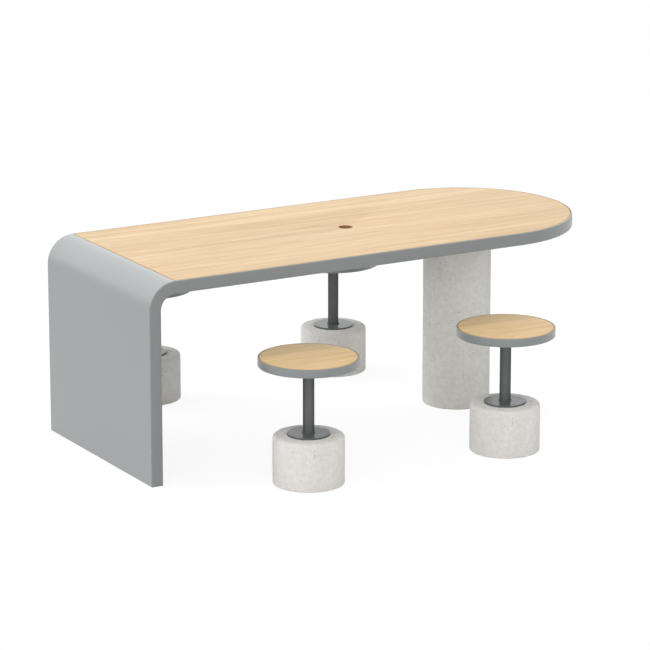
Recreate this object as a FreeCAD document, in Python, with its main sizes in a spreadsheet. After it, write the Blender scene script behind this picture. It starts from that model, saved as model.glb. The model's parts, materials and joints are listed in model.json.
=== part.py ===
import FreeCAD, Part
import math
import os
import re
import Sketcher

# A dining table with four stools. The table's leg and top are one steel slab that bends over
# at the leg end, holds a flush wooden board and runs out to a round end on a concrete column.
# Each stool is a concrete plinth with a bolted flange, a post and a round wooden seat in a
# steel pan. The origin is on the floor at the centre of the whole set, X runs from the leg to
# the round end, and -Y is the front.

# Each driving size in millimetres: name, value, what it measures.
SIZES = (
    ("table_length", 1900, "leg face to the tip of the round end"),
    ("table_width", 800, "front side to rear side, and the round end's diameter"),
    ("table_height", 720, "floor to the top of the board"),
    ("slab_depth", 45, "thickness of the leg and of the top"),
    ("bend_radius", 100, "outer radius of the bend from leg to top"),
    ("skin_wall", 4, "outer sheet of the leg and bend"),
    ("liner_wall", 3, "inner sheet of the leg and bend, and the soffit"),
    ("side_wall", 5, "side plates and round end band"),
    ("edge_round", 3.5, "radius on the slab's outer edges"),
    ("stop_wall", 6, "bar that closes the bend beside the board"),
    ("foot_wall", 5, "plate that closes the leg at the floor"),
    ("tray_wall", 2, "sheet that carries the board"),
    ("board_thickness", 20, "wooden board of the top"),
    ("joint_gap", 1.5, "gap between the board and the steel round it"),
    ("tube_width", 40, "width of the frame tubes"),
    ("tube_wall", 2, "wall of the frame tubes"),
    ("upright_inset", 150, "side of the table to the centre of an upright"),
    ("gusset_wall", 6, "curved gussets in the bend"),
    ("parasol_bore", 50, "diameter of the hole for a parasol pole"),
    ("sleeve_wall", 3, "sleeve round that hole"),
    ("parasol_rib_reach", 120, "parasol hole to the ribs beside it"),
    ("screw_diameter", 5, "wood screws of the boards"),
    ("screw_head", 10, "head diameter of a wood screw"),
    ("screw_head_depth", 3, "head height of a wood screw"),
    ("screw_bite", 12, "depth of a wood screw in the wood"),
    ("screw_row_reach", 200, "centre line of the table to a row of board screws"),
    ("fit_gap", 0.25, "radial clearance of a screw or stud in its hole"),
    ("column_diameter", 250, "concrete column"),
    ("column_from_centre", 25, "column centre to the centre of the round end"),
    ("column_chamfer", 4, "chamfer at the column's foot"),
    ("anchor_diameter", 200, "steel plate cast into the column's top"),
    ("anchor_wall", 8, "thickness of that plate"),
    ("mount_side", 240, "square plate inside the top, over the column"),
    ("mount_wall", 6, "thickness of that plate"),
    ("stud_diameter", 12, "studs that hold the top to the column"),
    ("stud_circle", 150, "circle through the studs' centres"),
    ("stud_depth", 100, "length of a stud in the concrete"),
    ("stud_end_gap", 1, "end of a stud to the sheet over it"),
    ("nut_width", 19, "nut across its flats"),
    ("nut_height", 8, "nut height"),
    ("stool_from_leg", 500, "leg face to the centre of the nearer stools"),
    ("stool_pitch", 800, "centre to centre of the stools along the table"),
    ("stool_reach", 610, "centre line of the table to a stool's centre"),
    ("plinth_diameter", 250, "concrete plinth of a stool"),
    ("plinth_height", 173, "height of that plinth"),
    ("plinth_round", 12, "radius on the plinth's top edge"),
    ("plinth_chamfer", 3, "chamfer at the plinth's foot"),
    ("flange_diameter", 150, "steel flange on the plinth"),
    ("flange_wall", 6, "thickness of that flange"),
    ("flange_round", 1.5, "radius on the flange's top edge"),
    ("flange_circle", 120, "circle through the flange screws' centres"),
    ("flange_screw", 8, "flange screw diameter"),
    ("flange_screw_head", 14, "head diameter of a countersunk flange screw"),
    ("flange_screw_length", 45, "length of a flange screw"),
    ("key_width", 5, "key socket of a flange screw across its flats"),
    ("key_depth", 3, "depth of that key socket"),
    ("anchor_sleeve", 14, "outer diameter of a threaded sleeve cast into the plinth"),
    ("anchor_length", 60, "length of that sleeve"),
    ("post_diameter", 40, "stool post"),
    ("post_wall", 3, "wall of the post"),
    ("seat_height", 450, "floor to the top of the seat"),
    ("seat_diameter", 350, "seat across its steel rim"),
    ("pan_depth", 30, "height of the seat's steel rim"),
    ("pan_wall", 4, "rim and floor of the seat's pan"),
    ("pan_round", 2.5, "radius on the pan's lower edge"),
    ("seat_gap", 1, "gap between the seat's wood and its rim"),
    ("seat_screw_circle", 220, "circle through the seat screws' centres"),
)
ALIASES = {alias for alias, value, meaning in SIZES}

# Where pairs of board screws stand, as shares of each span between the board's ends and ribs.
SCREW_SHARES = ((0.15, 0.5, 0.85), (0.5,), (0.5,), (0.5,), (0.4,))

# The four stools: name, copy along the table, side of the table.
STOOLS = (
    ("front_left_stool", 0, -1),
    ("front_right_stool", 1, -1),
    ("rear_right_stool", 1, 1),
    ("rear_left_stool", 0, 1),
)

# Places that several pieces share, as sums of the sizes. X is counted from the leg face.
LEG_FACE = "-table_length / 2"
ROUND_CENTRE = "table_length - table_width / 2"
BEND_LEVEL = "table_height - bend_radius"
SLAB_BOTTOM = "table_height - slab_depth"
FRAME_BOTTOM = "table_height - slab_depth + liner_wall"
TRAY_TOP = "table_height - board_thickness"
TRAY_BOTTOM = "table_height - board_thickness - tray_wall"
FRAME_DEPTH = "slab_depth - liner_wall - board_thickness - tray_wall"
INSIDE_START = "bend_radius - stop_wall"
INSIDE_WIDTH = "table_width - 2 * side_wall"
HOLE_PLACE = "(bend_radius + table_length) / 2"
COLUMN_PLACE = f"{ROUND_CENTRE} - column_from_centre"
BESIDE_MOUNT = "(mount_side + tube_width) / 2"
RIBS = (
    ("parasol_rib_near_leg", f"{HOLE_PLACE} - parasol_rib_reach"),
    ("parasol_rib_near_column", f"{HOLE_PLACE} + parasol_rib_reach"),
    ("column_rib_inner", f"{COLUMN_PLACE} - {BESIDE_MOUNT}"),
    ("column_rib_outer", f"{COLUMN_PLACE} + {BESIDE_MOUNT}"),
)
NEAR = 0.01

doc = FreeCAD.newDocument("table_with_stools")
sheet = doc.addObject("Spreadsheet::Sheet", "Sizes")
for row, (alias, value, meaning) in enumerate(SIZES, 1):
    sheet.set(f"A{row}", alias)
    sheet.set(f"B{row}", str(value))
    sheet.set(f"C{row}", meaning)
    sheet.setAlias(f"B{row}", alias)
doc.recompute()


def formula(total):
    """Point every size name in a sum at its cell in the Sizes sheet."""
    return re.sub("[a-z_]+", lambda word: f"Sizes.{word[0]}" if word[0] in ALIASES else word[0], total)


def number(total):
    """Present value of a sum of size names, to draw a sketch in its right place."""
    return float(sheet.evalExpression(formula(total)))


def new_body(name, x=LEG_FACE, y="0", z="0"):
    """Start a sub-part whose own origin stands at x, y, z."""
    body = doc.addObject("PartDesign::Body", name)
    body.Label = name
    body.AllowCompound = True
    for axis, place in zip("xyz", (x, y, z)):
        body.setExpression(f".Placement.Base.{axis}", formula(place))
    return body


def new_sketch(body, role, lift="0", shift="0"):
    """Start a sketch on one of the body's planes, lifted off it and shifted along its X."""
    sketch = body.newObject("Sketcher::SketchObject", f"{body.Name}_sketch")
    plane = next(part for part in body.Origin.OriginFeatures if part.Role == role)
    sketch.AttachmentSupport = (plane, "")
    sketch.MapMode = "FlatFace"
    sketch.setExpression(".AttachmentOffset.Base.z", formula(lift))
    sketch.setExpression(".AttachmentOffset.Base.x", formula(shift))
    return sketch


def bind(sketch, kind, geometry, point, total):
    """Tie one coordinate of a sketch point, or a radius, to a sum of size names."""
    places = (geometry,) if kind == "Radius" else (-1, 1, geometry, point)
    index = sketch.addConstraint(Sketcher.Constraint(kind, *places, number(total)))
    sketch.setExpression(f"Constraints[{index}]", formula(total))


def draw_circles(sketch, radius, places):
    """Circles of one radius about the given places."""
    for x, y in places:
        centre = FreeCAD.Vector(number(x), number(y), 0)
        circle = Part.Circle(centre, FreeCAD.Vector(0, 0, 1), number(radius))
        geometry = sketch.addGeometry(circle, False)
        bind(sketch, "Radius", geometry, 0, radius)
        bind(sketch, "DistanceX", geometry, 3, x)
        bind(sketch, "DistanceY", geometry, 3, y)


def make_arc(start, end, centre, leftwards):
    """Arc from start to end about a centre. Its first end is start only when it turns left."""
    first, last = (start, end) if leftwards else (end, start)
    angles = [math.atan2(point.y - centre.y, point.x - centre.x) for point in (first, last)]
    if angles[1] < angles[0]:
        angles[1] += 2 * math.pi
    circle = Part.Circle(centre, FreeCAD.Vector(0, 0, 1), centre.distanceToPoint(end))
    return Part.ArcOfCircle(circle, *angles)


def draw_outline(sketch, moves):
    """Closed outline through the moves' end points.

    A move is ("line", x, y), or ("left" or "right", x, y, centre x, centre y) for an arc that
    turns that way about its centre.
    """
    points = [FreeCAD.Vector(number(move[1]), number(move[2]), 0) for move in moves]
    pieces = []
    for index, (turn, x, y, *centre) in enumerate(moves):
        start = points[index - 1]
        end = points[index]
        if turn == "line":
            pieces.append((sketch.addGeometry(Part.LineSegment(start, end), False), 1, 2))
            continue
        middle = FreeCAD.Vector(number(centre[0]), number(centre[1]), 0)
        arc = make_arc(start, end, middle, turn == "left")
        ends = (1, 2) if turn == "left" else (2, 1)
        pieces.append((sketch.addGeometry(arc, False), *ends))
    for index, (geometry, first, last) in enumerate(pieces):
        before = pieces[index - 1]
        sketch.addConstraint(Sketcher.Constraint("Coincident", before[0], before[2], geometry, first))
    for index, (turn, x, y, *centre) in enumerate(moves):
        geometry, first, last = pieces[index]
        bind(sketch, "DistanceX", geometry, last, x)
        bind(sketch, "DistanceY", geometry, last, y)
        if turn != "line":
            chord = points[index] - points[index - 1]
            upright = abs(chord.y) >= abs(chord.x)
            kind, place = ("DistanceX", centre[0]) if upright else ("DistanceY", centre[1])
            bind(sketch, kind, geometry, 3, place)


def draw_rectangle(sketch, left, bottom, right, top):
    """Rectangle between two corners."""
    corners = ((right, bottom), (right, top), (left, top), (left, bottom))
    draw_outline(sketch, [("line", x, y) for x, y in corners])


def pad(body, sketch, length, both_ways=False, downwards=False):
    """Pad a sketch by a length, on both sides of it or on one."""
    feature = body.newObject("PartDesign::Pad", f"{body.Name}_pad")
    feature.Profile = sketch
    feature.SideType = "Symmetric" if both_ways else "One side"
    feature.Reversed = downwards
    feature.setExpression("Length", formula(length))
    doc.recompute()
    return feature


def pocket(body, sketch, depth, upwards=False):
    """Pocket a sketch into the body, and make sure that it cut something."""
    before = body.Shape.Volume
    feature = body.newObject("PartDesign::Pocket", f"{body.Name}_pocket")
    feature.Profile = sketch
    feature.Reversed = upwards
    feature.setExpression("Length", formula(depth))
    doc.recompute()
    if not body.Shape.Volume < before:
        raise RuntimeError(f"{feature.Name} cut nothing")
    return feature


def dress(body, kind, chosen, total):
    """Fillet or chamfer the edges of the body's last feature that the test chosen picks."""
    base = body.Tip
    names = [f"Edge{index}" for index, edge in enumerate(base.Shape.Edges, 1) if chosen(edge.BoundBox)]
    feature = body.newObject(f"PartDesign::{kind}", f"{body.Name}_{kind.lower()}")
    feature.Base = (base, names)
    feature.setExpression("Radius" if kind == "Fillet" else "Size", formula(total))
    doc.recompute()
    return feature


def at_level(total):
    """Test for edges that lie flat at one height above the body's origin."""
    level = number(total)
    return lambda box: abs(box.ZMin - level) < NEAR and abs(box.ZMax - level) < NEAR


def four_points(circle):
    """Centres of four fasteners on a circle, on the two axes."""
    reach = f"{circle} / 2"
    return ((reach, "0"), ("0", reach), (f"-{reach}", "0"), ("0", f"-{reach}"))


def slab_profile(sketch, outer, inner, start, reach):
    """Side view of a bent sheet of the slab.

    The sheet lies between two depths below the slab's outer face, stands from the height start
    and runs to reach past the leg face.
    """
    draw_outline(sketch, (
        ("line", outer, BEND_LEVEL),
        ("right", "bend_radius", f"table_height - ({outer})", "bend_radius", BEND_LEVEL),
        ("line", reach, f"table_height - ({outer})"),
        ("line", reach, f"table_height - ({inner})"),
        ("line", "bend_radius", f"table_height - ({inner})"),
        ("left", inner, BEND_LEVEL, "bend_radius", BEND_LEVEL),
        ("line", inner, start),
        ("line", outer, start),
    ))


def bent_sheet_profile(sketch, outer, inner):
    """Side view of a sheet that stops where the bend ends."""
    draw_outline(sketch, (
        ("line", outer, BEND_LEVEL),
        ("right", "bend_radius", f"table_height - ({outer})", "bend_radius", BEND_LEVEL),
        ("line", "bend_radius", f"table_height - ({inner})"),
        ("left", inner, BEND_LEVEL, "bend_radius", BEND_LEVEL),
        ("line", inner, "0"),
        ("line", outer, "0"),
    ))


def round_ended_plate(name, start, inset, level, thickness, holes=()):
    """Flat plate with the table's round end, set in from its outline, with round holes."""
    body = new_body(name, z=level)
    sketch = new_sketch(body, "XY_Plane")
    reach = f"(table_width / 2 - ({inset}))"
    draw_outline(sketch, (
        ("line", ROUND_CENTRE, f"-{reach}"),
        ("left", ROUND_CENTRE, reach, ROUND_CENTRE, "0"),
        ("line", start, reach),
        ("line", start, f"-{reach}"),
    ))
    for radius, places in holes:
        draw_circles(sketch, radius, places)
    pad(body, sketch, thickness)
    return body


def box_tube(name, role, width, depth, length, x, y, z):
    """Rectangular tube, centred on its place, with its run along the normal of a plane."""
    body = new_body(name, x, y, z)
    sketch = new_sketch(body, role)
    for wall in ("0", "tube_wall"):
        right = f"({width}) / 2 - {wall}"
        top = f"({depth}) / 2 - {wall}"
        draw_rectangle(sketch, f"-({right})", f"-({top})", right, top)
    pad(body, sketch, length, both_ways=True)
    return body


def ring(name, x, y, z, outer, bore, height):
    """Plain tube or disc that stands on its place."""
    body = new_body(name, x, y, z)
    sketch = new_sketch(body, "XY_Plane")
    draw_circles(sketch, f"{outer} / 2", [("0", "0")])
    if bore:
        draw_circles(sketch, bore, [("0", "0")])
    pad(body, sketch, height)
    return body


def wood_screws(name, x, y, z, plate, places):
    """Group of screws from below: heads under the level z, shanks through a plate into wood."""
    body = new_body(name, x, y, z)
    heads = new_sketch(body, "XY_Plane")
    draw_circles(heads, "screw_head / 2", places)
    pad(body, heads, "screw_head_depth", downwards=True)
    shanks = new_sketch(body, "XY_Plane")
    draw_circles(shanks, "screw_diameter / 2", places)
    pad(body, shanks, f"{plate} + screw_bite")
    return body


def pilot_holes(body, places):
    """Blind holes for wood screws in the underside of a wooden body."""
    sketch = new_sketch(body, "XY_Plane")
    draw_circles(sketch, "screw_diameter / 2", places)
    pocket(body, sketch, "screw_bite", upwards=True)


def board_screw_places():
    """Places of the board's screws, in two rows along the table and clear of the ribs."""
    stops = ["bend_radius", *(place for name, place in RIBS), "table_length"]
    spans = zip(stops, stops[1:], SCREW_SHARES)
    runs = [f"{start} + {share} * ({end} - ({start}))" for start, end, shares in spans for share in shares]
    return [(run, f"{side}screw_row_reach") for run in runs for side in ("", "-")]


def column_stud_places(from_leg):
    """Places of the column's studs, counted from the leg face or from the column's centre."""
    centre = COLUMN_PLACE if from_leg else "0"
    reach = "stud_circle / sqrt(8)"
    signs = (("+", ""), ("+", "-"), ("-", ""), ("-", "-"))
    return [(f"{centre} {along} {reach}", f"{across}{reach}") for along, across in signs]


def make_slab_skins():
    """Outer sheet, inner sheet and the two bars that close them."""
    skin = new_body("waterfall_skin")
    sketch = new_sketch(skin, "XZ_Plane")
    bent_sheet_profile(sketch, "0", "skin_wall")
    pad(skin, sketch, INSIDE_WIDTH, both_ways=True)
    dress(skin, "Fillet", lambda box: box.ZMax < NEAR and box.XMax < NEAR, "edge_round")

    liner = new_body("leg_liner")
    sketch = new_sketch(liner, "XZ_Plane")
    bent_sheet_profile(sketch, "slab_depth - liner_wall", "slab_depth")
    pad(liner, sketch, INSIDE_WIDTH, both_ways=True)

    stop = new_body("inlay_stop_bar")
    sketch = new_sketch(stop, "XZ_Plane")
    draw_rectangle(sketch, INSIDE_START, TRAY_TOP, "bend_radius",
                   "table_height - bend_radius + sqrt((bend_radius - skin_wall)^2 - stop_wall^2)")
    pad(stop, sketch, INSIDE_WIDTH, both_ways=True)

    foot = new_body("leg_foot_plate")
    sketch = new_sketch(foot, "XZ_Plane")
    draw_rectangle(sketch, "skin_wall", "0", "slab_depth - liner_wall", "foot_wall")
    pad(foot, sketch, INSIDE_WIDTH, both_ways=True)


def make_side_plate(name, side):
    """Side plate that follows the leg, the bend and the straight part of the top."""
    body = new_body(name, y=f"{side} * (table_width - side_wall) / 2")
    sketch = new_sketch(body, "XZ_Plane")
    slab_profile(sketch, "0", "slab_depth", "0", ROUND_CENTRE)
    pad(body, sketch, "side_wall", both_ways=True)
    outside = side * number("side_wall / 2")
    butt = number(ROUND_CENTRE)

    def on_rim(box):
        on_face = abs(box.YMin - outside) < NEAR and abs(box.YMax - outside) < NEAR
        at_toe = box.ZMax < NEAR and box.XMax < NEAR
        return (on_face and box.XMin < butt - NEAR) or at_toe

    dress(body, "Fillet", on_rim, "edge_round")


def make_round_end_band():
    """Half ring that carries the side plates on round the end of the top."""
    body = new_body("round_end_band", z=SLAB_BOTTOM)
    sketch = new_sketch(body, "XY_Plane")
    outer = "table_width / 2"
    inner = "(table_width / 2 - side_wall)"
    draw_outline(sketch, (
        ("left", ROUND_CENTRE, outer, ROUND_CENTRE, "0"),
        ("line", ROUND_CENTRE, inner),
        ("right", ROUND_CENTRE, f"-{inner}", ROUND_CENTRE, "0"),
        ("line", ROUND_CENTRE, f"-{outer}"),
    ))
    pad(body, sketch, "slab_depth")
    full_width = number("table_width") - NEAR
    dress(body, "Fillet", lambda box: box.YLength > full_width and box.ZLength < NEAR, "edge_round")


def make_slab_frame():
    """Uprights, gussets, rails and ribs inside the slab."""
    for name, side in (("front", -1), ("rear", 1)):
        upright_y = f"{side} * (table_width / 2 - upright_inset)"
        box_tube(f"{name}_leg_upright", "XY_Plane", "slab_depth - skin_wall - liner_wall", "tube_width",
                 f"{BEND_LEVEL} - foot_wall",
                 f"{LEG_FACE} + (skin_wall + slab_depth - liner_wall) / 2", upright_y,
                 f"({BEND_LEVEL} + foot_wall) / 2")
        make_gusset(f"{name}_bend_gusset", upright_y)
        box_tube(f"{name}_rail", "YZ_Plane", "tube_width", FRAME_DEPTH,
                 f"{ROUND_CENTRE} - ({INSIDE_START})",
                 f"{LEG_FACE} + ({ROUND_CENTRE} + {INSIDE_START}) / 2",
                 f"{side} * (table_width / 2 - side_wall - tube_width / 2)",
                 f"{FRAME_BOTTOM} + ({FRAME_DEPTH}) / 2")
    between_rails = f"{INSIDE_WIDTH} - 2 * tube_width"
    past_centre = f"({BESIDE_MOUNT} + tube_width / 2 - column_from_centre)"
    in_round_end = f"2 * sqrt((table_width / 2 - side_wall)^2 - {past_centre}^2)"
    for name, place in RIBS:
        length = in_round_end if name == "column_rib_outer" else between_rails
        box_tube(name, "XZ_Plane", "tube_width", FRAME_DEPTH, length, f"{LEG_FACE} + {place}", "0",
                 f"{FRAME_BOTTOM} + ({FRAME_DEPTH}) / 2")


def make_gusset(name, y):
    """Curved plate between the bend's two sheets, cut off upright before the stop bar."""
    body = new_body(name, y=y)
    sketch = new_sketch(body, "XZ_Plane")
    outer = "(bend_radius - skin_wall)"
    inner = "(bend_radius - slab_depth + liner_wall)"
    draw_outline(sketch, (
        ("right", INSIDE_START, f"{BEND_LEVEL} + sqrt({outer}^2 - stop_wall^2)",
         "bend_radius", BEND_LEVEL),
        ("line", INSIDE_START, f"{BEND_LEVEL} + sqrt({inner}^2 - stop_wall^2)"),
        ("left", "slab_depth - liner_wall", BEND_LEVEL, "bend_radius", BEND_LEVEL),
        ("line", "skin_wall", BEND_LEVEL),
    ))
    pad(body, sketch, "gusset_wall", both_ways=True)


def make_top():
    """Soffit, tray, parasol sleeve, wooden board and its screws."""
    pole = ("parasol_bore / 2", [(HOLE_PLACE, "0")])
    studs = ("stud_diameter / 2 + fit_gap", column_stud_places(True))
    screws = board_screw_places()
    round_ended_plate("soffit_sheet", "bend_radius", "side_wall", SLAB_BOTTOM, "liner_wall",
                      (pole, studs))
    round_ended_plate("tray_sheet", INSIDE_START, "side_wall", TRAY_BOTTOM, "tray_wall",
                      (pole, ("screw_diameter / 2 + fit_gap", screws)))
    ring("parasol_sleeve", f"{LEG_FACE} + {HOLE_PLACE}", "0", FRAME_BOTTOM,
         "(parasol_bore + 2 * sleeve_wall)", "parasol_bore / 2", FRAME_DEPTH)
    board = round_ended_plate("top_board", "bend_radius + joint_gap", "side_wall + joint_gap",
                              TRAY_TOP, "board_thickness", (pole,))
    pilot_holes(board, screws)
    wood_screws("board_screws", LEG_FACE, "0", TRAY_BOTTOM, "tray_wall", screws)


def make_column():
    """Concrete column with the plate, studs and nuts that hold the top to it."""
    place = f"{LEG_FACE} + {COLUMN_PLACE}"
    studs = column_stud_places(False)
    column = ring("concrete_column", place, "0", "0", "column_diameter", None, SLAB_BOTTOM)
    recess = new_sketch(column, "XY_Plane", lift=SLAB_BOTTOM)
    draw_circles(recess, "anchor_diameter / 2", [("0", "0")])
    pocket(column, recess, "anchor_wall")
    holes = new_sketch(column, "XY_Plane", lift=SLAB_BOTTOM)
    draw_circles(holes, "stud_diameter / 2", studs)
    pocket(column, holes, "anchor_wall + stud_depth")
    dress(column, "Chamfer", at_level("0"), "column_chamfer")

    anchor = new_body("column_anchor_plate", place, "0", f"{SLAB_BOTTOM} - anchor_wall")
    sketch = new_sketch(anchor, "XY_Plane")
    draw_circles(sketch, "anchor_diameter / 2", [("0", "0")])
    draw_circles(sketch, "stud_diameter / 2", studs)
    pad(anchor, sketch, "anchor_wall")

    mount = new_body("column_mount_plate", place, "0", FRAME_BOTTOM)
    sketch = new_sketch(mount, "XY_Plane")
    draw_rectangle(sketch, "-mount_side / 2", "-mount_side / 2", "mount_side / 2", "mount_side / 2")
    draw_circles(sketch, "stud_diameter / 2 + fit_gap", studs)
    pad(mount, sketch, "mount_wall")

    rods = new_body("column_studs", place, "0", f"{SLAB_BOTTOM} - anchor_wall - stud_depth")
    sketch = new_sketch(rods, "XY_Plane")
    draw_circles(sketch, "stud_diameter / 2", studs)
    pad(rods, sketch, f"anchor_wall + stud_depth + liner_wall + {FRAME_DEPTH} - stud_end_gap")

    nuts = new_body("column_nuts", place, "0", f"{FRAME_BOTTOM} + mount_wall")
    for x, y in studs:
        sketch = new_sketch(nuts, "XY_Plane")
        draw_outline(sketch, hexagon("nut_width", x, y))
        draw_circles(sketch, "stud_diameter / 2", [(x, y)])
        pad(nuts, sketch, "nut_height")


def hexagon(flats, x="0", y="0"):
    """Outline of a hexagon of a given width across its flats, about a place."""
    half = f"{flats} / 2"
    peak = f"{flats} / sqrt(3)"
    shoulder = f"{flats} / sqrt(12)"
    return [
        ("line", f"{x} + {half}", f"{y} + {shoulder}"),
        ("line", x, f"{y} + {peak}"),
        ("line", f"{x} - {half}", f"{y} + {shoulder}"),
        ("line", f"{x} - {half}", f"{y} - {shoulder}"),
        ("line", x, f"{y} - {peak}"),
        ("line", f"{x} + {half}", f"{y} - {shoulder}"),
    ]


def turned_profile(sketch, shank, length):
    """Half section of a countersunk screw, or of its hole, down from the head's face."""
    cone = f"(flange_screw_head / 2 - ({shank}))"
    draw_outline(sketch, (
        ("line", "flange_screw_head / 2", "0"),
        ("line", shank, f"-{cone}"),
        ("line", shank, f"-{length}"),
        ("line", "0", f"-{length}"),
        ("line", "0", "0"),
    ))


def turn(body, kind, sketch):
    """Revolve a half section about the sketch's own upright axis."""
    feature = body.newObject(f"PartDesign::{kind}", f"{body.Name}_{kind.lower()}")
    feature.Profile = sketch
    feature.ReferenceAxis = (sketch, ["V_Axis"])
    feature.Angle = 360
    doc.recompute()
    return feature


def repeat_round(body, features, count):
    """Repeat features about the body's upright axis."""
    pattern = body.newObject("PartDesign::PolarPattern", f"{body.Name}_pattern")
    axis = next(part for part in body.Origin.OriginFeatures if part.Role == "Z_Axis")
    pattern.Originals = features
    pattern.Axis = (axis, "")
    pattern.Angle = 360
    pattern.Occurrences = count
    body.Tip = pattern
    doc.recompute()


def make_stool(name, copy, side):
    """One stool, from its concrete plinth up to its wooden seat."""
    x = f"{LEG_FACE} + stool_from_leg + {copy} * stool_pitch"
    y = f"{side} * stool_reach"
    make_stool_foot(name, x, y)
    make_stool_seat(name, x, y)


def make_stool_foot(name, x, y):
    """Plinth, cast-in sleeves, flange, countersunk screws and post."""
    sleeves = four_points("flange_circle")
    flange_top = "plinth_height + flange_wall"

    plinth = ring(f"{name}_plinth", x, y, "0", "plinth_diameter", None, "plinth_height")
    sketch = new_sketch(plinth, "XY_Plane", lift="plinth_height")
    draw_circles(sketch, "anchor_sleeve / 2", sleeves)
    pocket(plinth, sketch, "anchor_length")
    reach = number("plinth_diameter") - NEAR
    top = at_level("plinth_height")
    dress(plinth, "Fillet", lambda box: top(box) and box.XLength > reach, "plinth_round")
    dress(plinth, "Chamfer", at_level("0"), "plinth_chamfer")

    anchors = new_body(f"{name}_anchors", x, y, "plinth_height - anchor_length")
    sketch = new_sketch(anchors, "XY_Plane")
    draw_circles(sketch, "anchor_sleeve / 2", sleeves)
    draw_circles(sketch, "flange_screw / 2", sleeves)
    pad(anchors, sketch, "anchor_length")

    flange = ring(f"{name}_flange", x, y, "plinth_height", "flange_diameter", None, "flange_wall")
    dress(flange, "Fillet", at_level("flange_wall"), "flange_round")
    sketch = new_sketch(flange, "XZ_Plane", shift="flange_circle / 2")
    sketch.setExpression(".AttachmentOffset.Base.y", formula("flange_wall"))
    turned_profile(sketch, "(flange_screw / 2 + fit_gap)", "flange_wall")
    repeat_round(flange, [turn(flange, "Groove", sketch)], len(sleeves))

    screws = new_body(f"{name}_flange_screws", x, y, flange_top)
    sketch = new_sketch(screws, "XZ_Plane", shift="flange_circle / 2")
    turned_profile(sketch, "flange_screw / 2", "flange_screw_length")
    shank = turn(screws, "Revolution", sketch)
    sketch = new_sketch(screws, "XY_Plane", shift="flange_circle / 2")
    draw_outline(sketch, hexagon("key_width"))
    repeat_round(screws, [shank, pocket(screws, sketch, "key_depth")], len(sleeves))

    ring(f"{name}_post", x, y, flange_top, "post_diameter", "post_diameter / 2 - post_wall",
         f"seat_height - pan_depth - ({flange_top})")


def make_stool_seat(name, x, y):
    """Steel pan, wooden seat and the screws between them."""
    screws = four_points("seat_screw_circle")
    underside = "seat_height - pan_depth"

    pan = new_body(f"{name}_seat_pan", x, y, underside)
    sketch = new_sketch(pan, "XY_Plane")
    draw_circles(sketch, "seat_diameter / 2", [("0", "0")])
    draw_circles(sketch, "screw_diameter / 2 + fit_gap", screws)
    pad(pan, sketch, "pan_depth")
    sketch = new_sketch(pan, "XY_Plane", lift="pan_depth")
    draw_circles(sketch, "seat_diameter / 2 - pan_wall", [("0", "0")])
    pocket(pan, sketch, "pan_depth - pan_wall")
    reach = number("seat_diameter") - NEAR
    bottom = at_level("0")
    dress(pan, "Fillet", lambda box: bottom(box) and box.XLength > reach, "pan_round")

    seat = ring(f"{name}_seat_board", x, y, f"{underside} + pan_wall",
                "(seat_diameter - 2 * pan_wall - 2 * seat_gap)", None, "pan_depth - pan_wall")
    pilot_holes(seat, screws)
    wood_screws(f"{name}_seat_screws", x, y, underside, "pan_wall", screws)


make_slab_skins()
make_side_plate("front_side_plate", -1)
make_side_plate("rear_side_plate", 1)
make_round_end_band()
make_slab_frame()
make_top()
make_column()
for stool in STOOLS:
    make_stool(*stool)
doc.recompute()

for item in doc.Objects:
    if "Invalid" in item.State or "Error" in item.State:
        raise RuntimeError(f"{item.Label} has the state {item.State}")
bodies = [item for item in doc.Objects if item.TypeId == "PartDesign::Body"]
for body in bodies:
    if body.Shape.isNull() or not body.Shape.isValid() or not body.Shape.Solids:
        raise RuntimeError(f"{body.Label} has no valid solid")
os.makedirs("parts", exist_ok=True)
for body in bodies:
    body.Shape.exportStep(f"parts/{body.Label}.step")
print(len(bodies), "sub-parts,", sum(len(body.Shape.Solids) for body in bodies), "solids")
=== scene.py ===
import json
import math

import bmesh
import bpy
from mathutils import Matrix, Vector, noise


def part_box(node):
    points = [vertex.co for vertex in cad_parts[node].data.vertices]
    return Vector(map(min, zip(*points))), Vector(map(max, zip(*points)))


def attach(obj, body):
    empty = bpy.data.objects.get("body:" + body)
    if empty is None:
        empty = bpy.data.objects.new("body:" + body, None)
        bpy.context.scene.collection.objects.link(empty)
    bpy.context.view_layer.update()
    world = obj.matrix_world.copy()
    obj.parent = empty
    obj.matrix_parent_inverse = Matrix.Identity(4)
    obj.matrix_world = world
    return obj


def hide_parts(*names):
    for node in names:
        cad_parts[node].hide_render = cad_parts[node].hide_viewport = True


# A long table with four stools. The table's leg bends over into its top, which runs out to a
# round end on a concrete column. Sizes are in metres in the shared frame: X from the leg to the
# round end, Y from the front to the rear, Z up from the floor. The shell, board, concrete, posts
# and seats are built here with finer edges, and the posts get welds. The rest keeps its CAD shape.

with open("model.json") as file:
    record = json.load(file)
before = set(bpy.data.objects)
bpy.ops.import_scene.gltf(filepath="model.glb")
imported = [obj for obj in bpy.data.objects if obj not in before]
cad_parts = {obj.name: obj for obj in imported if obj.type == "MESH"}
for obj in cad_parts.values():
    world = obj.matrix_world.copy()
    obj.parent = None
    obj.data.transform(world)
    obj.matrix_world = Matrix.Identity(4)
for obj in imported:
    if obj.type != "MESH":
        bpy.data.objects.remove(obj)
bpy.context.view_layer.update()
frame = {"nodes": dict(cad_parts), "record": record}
scene = bpy.context.scene
mounts = {mount["name"]: mount for mount in frame["record"]["mounts"]}

STOOLS = ("front_left_stool", "front_right_stool", "rear_right_stool", "rear_left_stool")

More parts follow.
